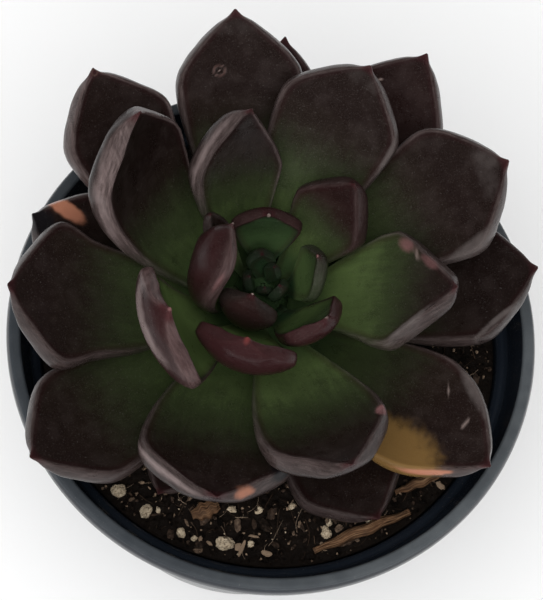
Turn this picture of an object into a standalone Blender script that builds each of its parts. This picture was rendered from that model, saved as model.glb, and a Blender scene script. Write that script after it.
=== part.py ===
"""A potted echeveria: a rosette of thick, pointed leaves on a short stem, standing in the soil of a
round nursery pot. Metres, +Z up. The origin is the middle of the pot's flat bottom, and +Y is the
side away from the viewer."""

import math
from dataclasses import dataclass

import bmesh
import bpy
import numpy as np

MM = 0.001
CLEARANCE = 0.3 * MM

# The pot, turned about +Z
POT_HEIGHT = 88 * MM
RIM_TOP_RADIUS = 54.0 * MM
RIM_WIDEST_RADIUS = 54.9 * MM
RIM_WIDEST_DROP = 2.9 * MM
RIM_DEPTH = 11 * MM
RIM_FOOT_RADIUS = 53.2 * MM
MOUTH_RADIUS = 51.9 * MM
LEDGE_DROP = 9 * MM
LEDGE_OUTER_RADIUS = 50.4 * MM
LEDGE_INNER_RADIUS = 48.2 * MM
WALL = 1.4 * MM
BASE_RADIUS = 38 * MM
BASE_ROUNDING = 1.2 * MM
POT_SEGMENTS = 64
DRAIN_HOLES = 6
DRAIN_TURN = 0.37
DRAIN_HOLE_RADIUS = 4 * MM
DRAIN_CIRCLE_RADIUS = 27 * MM

# The soil, filled to a little below the ledge
SOIL_TOP = POT_HEIGHT - 10.5 * MM
SOIL_MOUND = 0.8 * MM
SOIL_MOUND_RADIUS = 20 * MM
SOIL_RELIEF = 0.35 * MM
SOIL_EDGE_ROUNDING = 0.8 * MM
SOIL_SEGMENTS = 56
SOIL_RING_STEP = 6 * MM
GRAIN_SUNK = 0.35
GRAIN_ROUGHNESS = 0.18
GRAIN_FLATTENING = 0.8
CHIP_CLEARANCE = 0.5 * MM

# The plant's axis stands a little off the pot's, and its stem tapers into the bud
PLANT_X = -4.0 * MM
PLANT_Y = 2.3 * MM
STEM_RADIUS = 5.7 * MM
STEM_BURIED = 18 * MM
STEM_TAPER_START = POT_HEIGHT + 11 * MM
STEM_TOP = POT_HEIGHT + 19 * MM
STEM_TIP_RADIUS = 1.6 * MM
STEM_SEGMENTS = 24
GOLDEN_ANGLE = 137.5

# A leaf's half width and thickness along it, as (share of the length, share of the greatest)
ROUND_OUTLINE = (
    (0.0, 0.26), (0.12, 0.38), (0.28, 0.58), (0.45, 0.80), (0.60, 0.94), (0.68, 0.99), (0.73, 1.0),
    (0.77, 0.97), (0.82, 0.85), (0.87, 0.66), (0.92, 0.44), (0.95, 0.28), (0.975, 0.11), (0.99, 0.05),
    (1.0, 0.015),
)
POINTED_OUTLINE = (
    (0.0, 0.26), (0.12, 0.38), (0.28, 0.60), (0.45, 0.84), (0.56, 0.97), (0.62, 1.0), (0.70, 0.89),
    (0.81, 0.63), (0.90, 0.38), (0.945, 0.23), (0.97, 0.11), (0.985, 0.05), (1.0, 0.015),
)
THICKNESS = (
    (0.0, 0.50), (0.15, 0.68), (0.35, 0.90), (0.55, 1.0), (0.78, 0.96), (0.90, 0.80), (0.95, 0.52),
    (0.975, 0.24), (0.99, 0.13), (1.0, 0.04),
)
# Where the leaf's cross sections lie, close together where the outline turns
LEAF_STATIONS = (0.0, 0.14, 0.28, 0.42, 0.55, 0.66, 0.76, 0.84, 0.90, 0.945, 0.975, 1.0)
# A cross section's points: shares of its dished top, then angles round the margin and the belly
TOP_SHARES = (-1, 0, 1)
MARGIN_TURNS = (45, 90)
BELLY_TURNS = (36, 72, 108, 144)
SPINE_STEPS = 120
LEAN_PIVOT = 0.35
# How much of the dish is filled, and how far the rounding of the margin reaches in from the edge
DISH_FILL = 0.55
MARGIN_SLOPE = 0.35


@dataclass
class Leaf:
    """One leaf, in millimetres and degrees. It leaves the stem towards `azimuth`, `height` above the
    pot's rim, and bends from the angle `rise` at its root to `tip_rise` at its tip."""

    azimuth: float
    height: float
    rise: float
    tip_rise: float
    length: float
    width: float
    thick: float = 5.5
    lean: float = 0.0
    roll: float = 0.0
    cup: float = 0.16
    margin: float = 2.6
    bend: float = 1.3
    pointed: float = 0.0
    lens: float = 0.0


# From the lowest leaf to the innermost, each set by hand
LEAVES = (
    Leaf(243, -5, 6, 12, 37, 15, thick=3.5),
    Leaf(85, -5, 17, 27, 55, 21),
    Leaf(300, -4, 6, 14, 44, 24),
    Leaf(161, -3, 14, 32, 46, 22),
    Leaf(56, 0, 21, 33, 59, 25),
    Leaf(324, -1, 20, 18, 54, 27, lean=14, pointed=0.5),
    Leaf(133, 1, 22, 42, 56, 23, lean=19, pointed=-0.3),
    Leaf(219, 1, 14, 26, 54, 26),
    Leaf(6, 4, 13, 22, 52, 27),
    Leaf(255, 5.5, 16, 42, 45, 30, lean=-24),
    Leaf(185, 6, 18, 32, 48, 27, lean=7, pointed=-0.6),
    Leaf(97, 6, 24, 34, 55, 26),
    Leaf(27, 8, 25, 34, 53, 27, lean=10, pointed=-0.2),
    Leaf(142, 9, 28, 95, 48, 27, lean=44, roll=-12, margin=3.0, bend=2.0),
    Leaf(290, 11, 22, 46, 44, 26, lean=-8, pointed=0.2),
    Leaf(66, 11, 31, 41, 47, 26, lean=14),
    Leaf(354, 11.5, 34, 46, 39, 24, lean=12, pointed=1.2),
    Leaf(215, 12, 27, 112, 38, 25, thick=4.4, roll=12, cup=0.20, margin=2.2, bend=1.5, lens=1.0),
    Leaf(104, 14, 41, 62, 35, 20, lean=40, roll=-16, margin=3.0, pointed=0.8),
    Leaf(44, 15.5, 42, 58, 26, 17, margin=2.8, pointed=1.0),
    Leaf(256, 15, 33, 100, 28, 20, thick=4.4, roll=4, cup=0.24, margin=2.2, bend=1.2, lens=1.0),
    Leaf(309, 15.5, 48, 78, 23, 14, thick=3.4, lean=-20, cup=0.26, margin=1.8, bend=1.0, lens=0.8),
    Leaf(186, 16, 46, 150, 30, 12, thick=4.0, lean=84, cup=0.2, margin=2.0, bend=1.3, lens=1.0),
    Leaf(142, 17.5, 50, 72, 20, 6, thick=2.4, margin=1.2, bend=1.0, pointed=0.6),
    Leaf(89, 17, 50, 92, 16, 14, thick=3.0, cup=0.2, margin=1.8, bend=1.0, lens=0.8),
    Leaf(4, 17.5, 60, 84, 16, 12, lean=-30, thick=3.0, margin=1.6, bend=1.0, pointed=0.6, lens=0.8),
    Leaf(245, 17.5, 46, 118, 16, 12, thick=3.4, cup=0.2, margin=1.6, bend=1.0, lens=0.6),
)
BUD_LEAVES = 5
BUD_FIRST = Leaf(100, 18, 62, 92, 9, 6, thick=2.4, margin=0.9, bend=1.0, pointed=0.8)
BUD_SHRINK = 0.87

# White grains in the soil, as (x, y, size) from the pot's axis, in millimetres
GRAINS = (
    (-31.0, -32.5, 3.4), (-25.4, -36.6, 3.2), (-18.2, -41.0, 2.4), (-9.2, -43.2, 4.0), (-3.9, -43.0, 1.8),
    (11.5, -40.2, 2.8), (-7.8, -35.8, 2.0), (-2.3, -35.9, 2.0), (12.1, -38.1, 1.8), (20.6, -37.9, 1.8),
    (4.5, -34.9, 1.8), (-22.9, -36.3, 1.4), (42.0, -8.0, 2.0), (-15.5, -42.0, 1.4),
)
# Chips of bark on the soil, as start and end from the pot's axis, width and thickness, in millimetres
BARK_CHIPS = {
    "bark_chip_long": ((9.0, -44.2), (29.0, -35.6), 2.6, 1.6),
    "bark_chip_short": ((26.0, -31.5), (36.0, -27.5), 2.2, 1.2),
    "bark_chip_flat": ((-16.0, -37.4), (-10.4, -35.2), 3.6, 1.0),
}


def clear_scene():
    for obj in list(bpy.data.objects):
        bpy.data.objects.remove(obj, do_unlink=True)


def make_material(name, colour, roughness):
    material = bpy.data.materials.new(name)
    material.use_nodes = True
    shader = material.node_tree.nodes["Principled BSDF"]
    shader.inputs["Base Color"].default_value = (*colour, 1.0)
    shader.inputs["Roughness"].default_value = roughness
    shader.inputs["Metallic"].default_value = 0.0
    return material


def add_object(name, points, faces, material, parent=None):
    mesh = bpy.data.meshes.new(name)
    mesh.from_pydata([tuple(point) for point in points], [], faces)
    mesh.materials.append(material)
    mesh.shade_smooth()
    mesh.set_sharp_from_angle(angle=math.radians(40))
    obj = bpy.data.objects.new(name, mesh)
    bpy.context.scene.collection.objects.link(obj)
    obj.parent = parent
    return obj


def curve_through(points, shares):
    """A smooth curve through the points that never overshoots them (a monotone cubic)."""
    x, y = np.array(points).T
    step = np.diff(x)
    slope = np.diff(y) / step
    tangent = np.zeros_like(x)
    tangent[0], tangent[-1] = slope[0], slope[-1]
    for i in range(1, len(x) - 1):
        if slope[i - 1] * slope[i] > 0:
            before, after = 2 * step[i] + step[i - 1], step[i] + 2 * step[i - 1]
            tangent[i] = (before + after) / (before / slope[i - 1] + after / slope[i])
    shares = np.asarray(shares, float)
    k = np.clip(np.searchsorted(x, shares, side="right") - 1, 0, len(x) - 2)
    t = (shares - x[k]) / step[k]
    return (
        (1 + 2 * t) * (1 - t) ** 2 * y[k]
        + t * (1 - t) ** 2 * step[k] * tangent[k]
        + t * t * (3 - 2 * t) * y[k + 1]
        + t * t * (t - 1) * step[k] * tangent[k + 1]
    )


def stem_radius(z):
    """The stem is a plain cylinder up to its taper, and then narrows into a round tip."""
    share = np.clip((z - STEM_TAPER_START) / (STEM_TOP - STEM_TAPER_START), 0.0, 1.0)
    return STEM_TIP_RADIUS + (STEM_RADIUS - STEM_TIP_RADIUS) * (1 - share * share) ** 0.8


def leaf_spine(leaf, shares):
    """Points of the leaf's midline from its root, with the directions to its side and up. The leaf
    grows towards +X."""
    q = (np.arange(SPINE_STEPS) + 0.5) / SPINE_STEPS
    rise = np.radians(leaf.rise + (leaf.tip_rise - leaf.rise) * q**leaf.bend)
    along = np.stack([np.cos(rise), 0 * rise, np.sin(rise)], axis=1)
    side = np.tile([0.0, -1.0, 0.0], (SPINE_STEPS, 1))
    up = np.cross(side, along)
    roll = np.radians(leaf.roll * np.clip(2 * q, 0, 1))[:, None]
    side, up = side * np.cos(roll) + up * np.sin(roll), up * np.cos(roll) - side * np.sin(roll)
    lean = np.radians(leaf.lean * (q - LEAN_PIVOT))[:, None]
    along, side = along * np.cos(lean) + side * np.sin(lean), side * np.cos(lean) - along * np.sin(lean)
    walked = np.vstack([np.zeros(3), np.cumsum(along * leaf.length * MM / SPINE_STEPS, axis=0)])
    place = np.asarray(shares) * SPINE_STEPS
    k = np.clip(place.astype(int), 0, SPINE_STEPS - 1)
    part = (place - k)[:, None]
    return walked[k] * (1 - part) + walked[k + 1] * part, side[k], up[k]


def leaf_ring(half_width, thick, cup, margin, lens):
    """A leaf's cross section as (sideways, upwards) pairs: a shallow dish above, a steep rounded
    margin on each side and a belly below, which is full at lens 0 and lens-shaped at 1."""
    edge = cup * half_width
    face = half_width - MARGIN_SLOPE * margin
    upper = [(share * face, edge * (DISH_FILL + (1 - DISH_FILL) * share * share)) for share in TOP_SHARES]
    right = []
    for turn in np.radians(MARGIN_TURNS):
        out = face + MARGIN_SLOPE * margin * math.sin(turn) ** 0.9
        right.append((out, edge - (1 - math.cos(turn)) * margin))
    belly = []
    for turn in np.radians(BELLY_TURNS):
        across, down = math.cos(turn), math.sin(turn)
        depth = (edge - margin + thick) * down ** (0.8 + 0.7 * lens)
        out = half_width * math.copysign(abs(across) ** (0.85 + 0.15 * lens), across)
        belly.append((out, edge - margin - depth))
    left = [(-x, z) for x, z in reversed(right)]
    return upper + right + belly + left


def leaf_surface(leaf):
    """The leaf's points, ring after ring from root to tip, and its faces."""
    shares = np.array(LEAF_STATIONS)
    round_width = curve_through(ROUND_OUTLINE, shares)
    pointed_width = curve_through(POINTED_OUTLINE, shares)
    width = (round_width + (pointed_width - round_width) * leaf.pointed) * leaf.width / 2 * MM
    thick = curve_through(THICKNESS, shares) * leaf.thick * MM
    margin = leaf.margin * MM * (0.3 + 0.7 * np.clip((shares - 0.25) / 0.4, 0, 1))
    margin = np.minimum(margin, np.minimum(0.8 * width, 0.62 * thick))
    cup = leaf.cup * np.clip(shares / 0.3, 0.2, 1) * np.clip((1 - shares) / 0.12, 0.1, 1)
    spine, side, up = leaf_spine(leaf, shares)
    ring = leaf_ring(width, thick, cup, margin, leaf.lens)
    points = np.stack([spine + side * x[:, None] + up * z[:, None] for x, z in
                       ((x + 0 * width, z + 0 * width) for x, z in ring)], axis=1)
    return points.reshape(-1, 3), loft_faces(len(shares), len(ring))


def loft_faces(rings, size):
    """Faces of a closed loft: bands between rings of `size` points, and an end face at each end."""
    faces = [tuple(reversed(range(size)))]
    for i in range(rings - 1):
        for j in range(size):
            k = (j + 1) % size
            faces.append((i * size + j, i * size + k, (i + 1) * size + k, (i + 1) * size + j))
    faces.append(tuple((rings - 1) * size + j for j in range(size)))
    return faces


def leaf_root(leaf):
    """Where the leaf leaves the stem, just clear of it."""
    z = POT_HEIGHT + leaf.height * MM
    radius = stem_radius(z - leaf.thick / 2 * MM) + CLEARANCE
    azimuth = math.radians(leaf.azimuth)
    return (PLANT_X + radius * math.cos(azimuth), PLANT_Y + radius * math.sin(azimuth), z)


def add_leaf(name, leaf, material, parent):
    points, faces = leaf_surface(leaf)
    obj = add_object(name, points, faces, material, parent)
    obj.location = leaf_root(leaf)
    obj.rotation_euler = (0, 0, math.radians(leaf.azimuth))
    return obj


def turned_surface(profile, segments):
    """Points and faces of an open profile of (radius, z) from axis to axis, turned about +Z. The
    profile runs so that the solid lies on its left."""
    points, faces, first = [], [], []
    for radius, z in profile:
        first.append(len(points))
        turns = 1 if radius == 0 else segments
        for j in range(turns):
            angle = 2 * math.pi * j / segments
            points.append((radius * math.cos(angle), radius * math.sin(angle), z))
    for i in range(len(profile) - 1):
        for j in range(segments):
            k = (j + 1) % segments
            low = [first[i]] if profile[i][0] == 0 else [first[i] + j, first[i] + k]
            high = [first[i + 1]] if profile[i + 1][0] == 0 else [first[i + 1] + k, first[i + 1] + j]
            faces.append(tuple(low + high))
    return points, faces


def pot_inner_radius(z):
    """The body's inner wall, straight from the floor to the ledge."""
    share = (z - WALL) / (POT_HEIGHT - LEDGE_DROP - WALL)
    return BASE_RADIUS - WALL + (LEDGE_INNER_RADIUS - BASE_RADIUS + WALL) * share


def pot_profile():
    """From the underside's middle, out and up the outside, over the rim and down the inside."""
    top = POT_HEIGHT
    shoulder = top - RIM_DEPTH
    ledge = top - LEDGE_DROP
    shoulder_radius = pot_inner_radius(shoulder) + WALL
    lip = 0.7 * MM
    return [
        (0, 0),
        (BASE_RADIUS - BASE_ROUNDING, 0),
        (BASE_RADIUS - 0.3 * BASE_ROUNDING, 0.3 * BASE_ROUNDING),
        (BASE_RADIUS + 0.1 * BASE_ROUNDING, BASE_ROUNDING),
        (shoulder_radius, shoulder),
        (RIM_FOOT_RADIUS - lip, shoulder),
        (RIM_FOOT_RADIUS, shoulder + lip),
        (RIM_WIDEST_RADIUS - 0.3 * lip, top - RIM_WIDEST_DROP - 1.6 * MM),
        (RIM_WIDEST_RADIUS, top - RIM_WIDEST_DROP),
        (RIM_WIDEST_RADIUS - 0.2 * lip, top - 1.4 * MM),
        (RIM_TOP_RADIUS + 0.4 * lip, top - 0.4 * lip),
        (RIM_TOP_RADIUS - 0.3 * lip, top),
        (MOUTH_RADIUS + 0.6 * lip, top),
        (MOUTH_RADIUS, top - 0.6 * lip),
        (LEDGE_OUTER_RADIUS, ledge + lip),
        (LEDGE_OUTER_RADIUS - lip, ledge),
        (LEDGE_INNER_RADIUS + lip, ledge),
        (pot_inner_radius(ledge - lip), ledge - lip),
        (pot_inner_radius(2 * WALL), 2 * WALL),
        (BASE_RADIUS - 2 * WALL, WALL),
        (0, WALL),
    ]


def add_cylinder_cutter(name, x, y, radius, low, high, sides):
    mesh = bpy.data.meshes.new(name)
    bm = bmesh.new()
    bmesh.ops.create_cone(
        bm, cap_ends=True, segments=sides, radius1=radius, radius2=radius, depth=high - low
    )
    bm.to_mesh(mesh)
    bm.free()
    cutter = bpy.data.objects.new(name, mesh)
    bpy.context.scene.collection.objects.link(cutter)
    cutter.location = (x, y, (low + high) / 2)
    cutter.hide_render = True
    cutter.display_type = "WIRE"
    return cutter


def cut(obj, cutter):
    modifier = obj.modifiers.new("cut by " + cutter.name, "BOOLEAN")
    modifier.operation = "DIFFERENCE"
    modifier.object = cutter


def add_pot(material, parent):
    """The pot, with a ring of drain holes through its floor."""
    points, faces = turned_surface(pot_profile(), POT_SEGMENTS)
    pot = add_object("pot", points, faces, material, parent)
    for i in range(DRAIN_HOLES):
        angle = 2 * math.pi * (i + DRAIN_TURN) / DRAIN_HOLES
        x, y = DRAIN_CIRCLE_RADIUS * math.cos(angle), DRAIN_CIRCLE_RADIUS * math.sin(angle)
        cut(pot, add_cylinder_cutter(f"drain_{i}", x, y, DRAIN_HOLE_RADIUS, -2 * MM, 4 * MM, 20))
    return pot


def soil_height(x, y):
    """The soil's top: a slight mound about the plant, with low lumps that follow a few waves."""
    away = np.hypot(x - PLANT_X, y - PLANT_Y)
    mound = SOIL_MOUND * np.exp(-((away / SOIL_MOUND_RADIUS) ** 2))
    waves = np.sin(x / (5.3 * MM) + 0.7) * np.cos(y / (4.9 * MM)) + 0.6 * np.sin((x + y) / (4.4 * MM))
    return SOIL_TOP + mound + SOIL_RELIEF * waves


def fuse_into(obj, pieces):
    """One union of the pieces with the object, applied, with the pieces then removed."""
    group = bpy.data.collections.new(obj.name + " repeats")
    bpy.context.scene.collection.children.link(group)
    for piece in pieces:
        group.objects.link(piece)
    modifier = obj.modifiers.new("repeats", "BOOLEAN")
    modifier.operation = "UNION"
    modifier.operand_type = "COLLECTION"
    modifier.collection = group
    bpy.context.view_layer.update()
    evaluated = obj.evaluated_get(bpy.context.evaluated_depsgraph_get())
    joined = bpy.data.meshes.new_from_object(evaluated)
    obj.modifiers.clear()
    obj.data = joined
    for piece in pieces:
        bpy.data.objects.remove(piece, do_unlink=True)
    bpy.data.collections.remove(group)


def add_grain(index, x, y, size, material):
    """A rough grain, partly sunk in the soil and squashed a little."""
    mesh = bpy.data.meshes.new(f"grain_{index}")
    bm = bmesh.new()
    bmesh.ops.create_icosphere(bm, subdivisions=1, radius=size / 2)
    for vert in bm.verts:
        vert.co *= 1 + GRAIN_ROUGHNESS * math.sin(5.1 * index + 900 * vert.co.x + 1400 * vert.co.z)
        vert.co.z *= GRAIN_FLATTENING
    bm.to_mesh(mesh)
    bm.free()
    mesh.materials.append(material)
    grain = bpy.data.objects.new(f"grain_{index}", mesh)
    bpy.context.scene.collection.objects.link(grain)
    grain.location = (x, y, soil_height(x, y) + (0.5 - GRAIN_SUNK) * size * GRAIN_FLATTENING)
    grain.rotation_euler = (0, 0, index)
    return grain


def add_soil(material, grain_material, parent):
    """The soil fills the pot's body, with the grains fused into its top and a plain hole for the stem."""
    top_radius = pot_inner_radius(SOIL_TOP) - CLEARANCE
    rings = int(top_radius / SOIL_RING_STEP)
    profile = [(0, WALL + CLEARANCE)]
    profile.append((BASE_RADIUS - 2 * WALL - CLEARANCE, WALL + CLEARANCE))
    profile.append((pot_inner_radius(2 * WALL) - CLEARANCE, 2 * WALL))
    profile.append((top_radius - 0.1 * MM, SOIL_TOP - SOIL_MOUND))
    profile.append((top_radius - SOIL_EDGE_ROUNDING, SOIL_TOP))
    profile += [(top_radius * i / rings, SOIL_TOP) for i in range(rings - 1, -1, -1)]
    points, faces = turned_surface(profile, SOIL_SEGMENTS)
    points = [(x, y, soil_height(x, y) if z == SOIL_TOP else z) for x, y, z in points]
    soil = add_object("soil", points, faces, material, parent)
    soil.data.materials.append(grain_material)
    fuse_into(soil, [add_grain(i, x * MM, y * MM, size * MM, grain_material)
                     for i, (x, y, size) in enumerate(GRAINS)])
    cut(soil, add_cylinder_cutter("stem_hole", PLANT_X, PLANT_Y, STEM_RADIUS + CLEARANCE,
                                  SOIL_TOP - STEM_BURIED - CLEARANCE, POT_HEIGHT, STEM_SEGMENTS))
    return soil


def add_stem(material, parent):
    """The stem, with the innermost small leaves of the bud fused to its tip."""
    foot = SOIL_TOP - STEM_BURIED
    heights = [foot, STEM_TAPER_START]
    heights += [STEM_TAPER_START + share * (STEM_TOP - STEM_TAPER_START) for share in (0.35, 0.65, 0.85, 1)]
    profile = [(0, foot)] + [(float(stem_radius(z)), z) for z in heights] + [(0, STEM_TOP + 0.8 * MM)]
    points, faces = turned_surface(profile, STEM_SEGMENTS)
    points = [(x + PLANT_X, y + PLANT_Y, z) for x, y, z in points]
    stem = add_object("stem", points, faces, material, parent)
    bud = []
    for i in range(BUD_LEAVES):
        size = BUD_SHRINK**i
        leaf = Leaf(
            BUD_FIRST.azimuth - GOLDEN_ANGLE * i, BUD_FIRST.height + 0.4 * i, BUD_FIRST.rise + 2 * i,
            BUD_FIRST.tip_rise - 2 * i, BUD_FIRST.length * size, BUD_FIRST.width * size,
            thick=BUD_FIRST.thick * size, margin=BUD_FIRST.margin, bend=BUD_FIRST.bend,
            pointed=BUD_FIRST.pointed,
        )
        piece = add_leaf(f"bud_{i}", leaf, material, None)
        piece.location.x = PLANT_X + 0.4 * (piece.location.x - PLANT_X)
        piece.location.y = PLANT_Y + 0.4 * (piece.location.y - PLANT_Y)
        bud.append(piece)
    fuse_into(stem, bud)
    return stem


def add_bark_chip(name, start, end, width, thick, material, parent):
    """A splinter of bark that lies along the soil, pointed at both ends."""
    start, end = np.array(start) * MM, np.array(end) * MM
    along = (end - start) / np.linalg.norm(end - start)
    across = np.array([-along[1], along[0]])
    points = []
    shares = (0.0, 0.15, 0.4, 0.65, 0.88, 1.0)
    for i, share in enumerate(shares):
        half = width / 2 * MM * (0.35 + 0.65 * math.sin(math.pi * min(max(share, 0.08), 0.92)))
        deep = thick * MM * (0.6 + 0.4 * math.sin(math.pi * share))
        middle = start + (end - start) * share + across * 0.15 * half * math.sin(4 * i)
        ground = max(soil_height(*(middle + across * shift)) for shift in (-half, 0, half)) + CHIP_CLEARANCE
        section = ((-1, 0.2), (-0.5, 0), (0.6, 0), (1, 0.4), (0.4, 1), (-0.6, 1))
        points += [(*(middle + across * half * shift), ground + deep * up) for shift, up in section]
    return add_object(name, points, loft_faces(len(shares), 6), material, parent)


def main():
    clear_scene()
    root = bpy.data.objects.new("potted_echeveria", None)
    bpy.context.scene.collection.objects.link(root)
    leaf_material = make_material("leaf", (0.030, 0.016, 0.016), 0.38)
    stem_material = make_material("bud", (0.035, 0.075, 0.018), 0.45)
    pot_material = make_material("pot", (0.006, 0.008, 0.014), 0.22)
    soil_material = make_material("soil", (0.022, 0.014, 0.009), 0.95)
    grain_material = make_material("grain", (0.62, 0.57, 0.47), 0.85)
    bark_material = make_material("bark", (0.23, 0.14, 0.075), 0.85)
    add_pot(pot_material, root)
    add_soil(soil_material, grain_material, root)
    add_stem(stem_material, root)
    for name, (start, end, width, thick) in BARK_CHIPS.items():
        add_bark_chip(name, start, end, width, thick, bark_material, root)
    for i, leaf in enumerate(LEAVES, start=1):
        add_leaf(f"leaf_{i:02d}", leaf, leaf_material, root)


main()
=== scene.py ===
"""The looks of a potted echeveria: fine leaves, pot, soil, grains and bark in place of plain solids."""

import math
import random
from dataclasses import dataclass, replace

import bmesh
import bpy
import numpy as np
from mathutils import Matrix, Vector, noise


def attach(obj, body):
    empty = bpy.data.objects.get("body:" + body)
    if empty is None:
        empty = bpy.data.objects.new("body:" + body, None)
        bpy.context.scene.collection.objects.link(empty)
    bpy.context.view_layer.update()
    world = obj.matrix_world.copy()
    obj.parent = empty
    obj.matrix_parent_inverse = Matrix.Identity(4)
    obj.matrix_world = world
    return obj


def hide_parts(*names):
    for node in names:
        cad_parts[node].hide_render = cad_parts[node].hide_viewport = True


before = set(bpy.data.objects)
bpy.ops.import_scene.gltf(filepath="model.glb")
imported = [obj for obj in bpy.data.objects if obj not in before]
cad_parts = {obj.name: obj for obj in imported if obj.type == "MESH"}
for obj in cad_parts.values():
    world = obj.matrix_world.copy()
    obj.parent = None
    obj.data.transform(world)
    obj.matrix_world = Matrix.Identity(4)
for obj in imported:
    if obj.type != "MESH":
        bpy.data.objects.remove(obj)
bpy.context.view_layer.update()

MM = 0.001
CLEARANCE = 0.3 * MM

# The camera: over the pot and a little in front, aimed at the middle of the rim
CAMERA_RISE = 70.7
CAMERA_TURN = -14.5
CAMERA_DISTANCE = 0.42
CAMERA_SENSOR = 24.0
PIXELS_PER_METRE = 4856.0
FRAME_WIDTH, FRAME_HEIGHT = 543, 600
TARGET_PIXEL = (274.3, 328.7)

# The light: how bright it is all round, from the horizon (0) to straight up (1), and one soft lamp
SKY = ((0.0, 1.0), (0.04, 1.0), (0.13, 0.1), (0.3, 0.045), (1.0, 0.024))
SKY_STRENGTH = 2.2
LAMP_STRENGTH = 4.0
LAMP_SPREAD = 75
LAMP_TILT = (24, -10, 0)
FLOOR_RADIUS = 4.0
FLOOR_DROP = 0.05 * MM

# The pot and the soil, as the solids have them
POT_HEIGHT = 88 * MM
RIM_TOP_RADIUS = 54.0 * MM
RIM_WIDEST_RADIUS = 54.9 * MM
RIM_WIDEST_DROP = 2.9 * MM
RIM_DEPTH = 11 * MM
RIM_FOOT_RADIUS = 53.2 * MM
MOUTH_RADIUS = 51.9 * MM
LEDGE_DROP = 9 * MM
LEDGE_OUTER_RADIUS = 50.4 * MM
LEDGE_INNER_RADIUS = 48.2 * MM
WALL = 1.4 * MM
BASE_RADIUS = 38 * MM
BASE_ROUNDING = 1.2 * MM
DRAIN_HOLES = 6
DRAIN_TURN = 0.37
DRAIN_HOLE_RADIUS = 4 * MM
DRAIN_CIRCLE_RADIUS = 27 * MM
POT_SEGMENTS = 240
CORNER_ROUNDING = 0.45 * MM
SOIL_TOP = POT_HEIGHT - 10.5 * MM
SOIL_MOUND = 0.8 * MM
SOIL_MOUND_RADIUS = 20 * MM
SOIL_RELIEF = 0.35 * MM
SOIL_SEGMENTS, SOIL_RINGS = 420, 84

# The plant, as the solids have it
PLANT_X = -4.0 * MM
PLANT_Y = 2.3 * MM
STEM_RADIUS = 5.7 * MM
STEM_BURIED = 18 * MM
STEM_TAPER_START = POT_HEIGHT + 11 * MM
STEM_TOP = POT_HEIGHT + 19 * MM
STEM_TIP_RADIUS = 1.6 * MM
GOLDEN_ANGLE = 137.5
SPINE_STEPS = 120
LEAN_PIVOT = 0.35
DISH_FILL = 0.55
MARGIN_SLOPE = 0.35
ROUND_OUTLINE = (
    (0.0, 0.26), (0.12, 0.38), (0.28, 0.58), (0.45, 0.8), (0.6, 0.94), (0.68, 0.99), (0.73, 1.0),
    (0.77, 0.97), (0.82, 0.85), (0.87, 0.66), (0.92, 0.44), (0.95, 0.28), (0.975, 0.11), (0.99, 0.05),
    (1.0, 0.015),
)
POINTED_OUTLINE = (
    (0.0, 0.26), (0.12, 0.38), (0.28, 0.6), (0.45, 0.84), (0.56, 0.97), (0.62, 1.0), (0.7, 0.89),
    (0.81, 0.63), (0.9, 0.38), (0.945, 0.23), (0.97, 0.11), (0.985, 0.05), (1.0, 0.015),
)
THICKNESS = (
    (0.0, 0.5), (0.15, 0.68), (0.35, 0.9), (0.55, 1.0), (0.78, 0.96), (0.9, 0.8), (0.95, 0.52),
    (0.975, 0.24), (0.99, 0.13), (1.0, 0.04),
)
# The fine leaves are a touch shorter, to stay inside the solids' box, and their roots reach the stem
LENGTH_SHARE = 0.9995
ROOT_REACH = 1.3 * MM


@dataclass
class Leaf:
    """One leaf, in millimetres and degrees, as in the solids."""

    azimuth: float
    height: float
    rise: float
    tip_rise: float
    length: float
    width: float
    thick: float = 5.5
    lean: float = 0.0
    roll: float = 0.0
    cup: float = 0.16
    margin: float = 2.6
    bend: float = 1.3
    pointed: float = 0.0
    lens: float = 0.0


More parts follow.
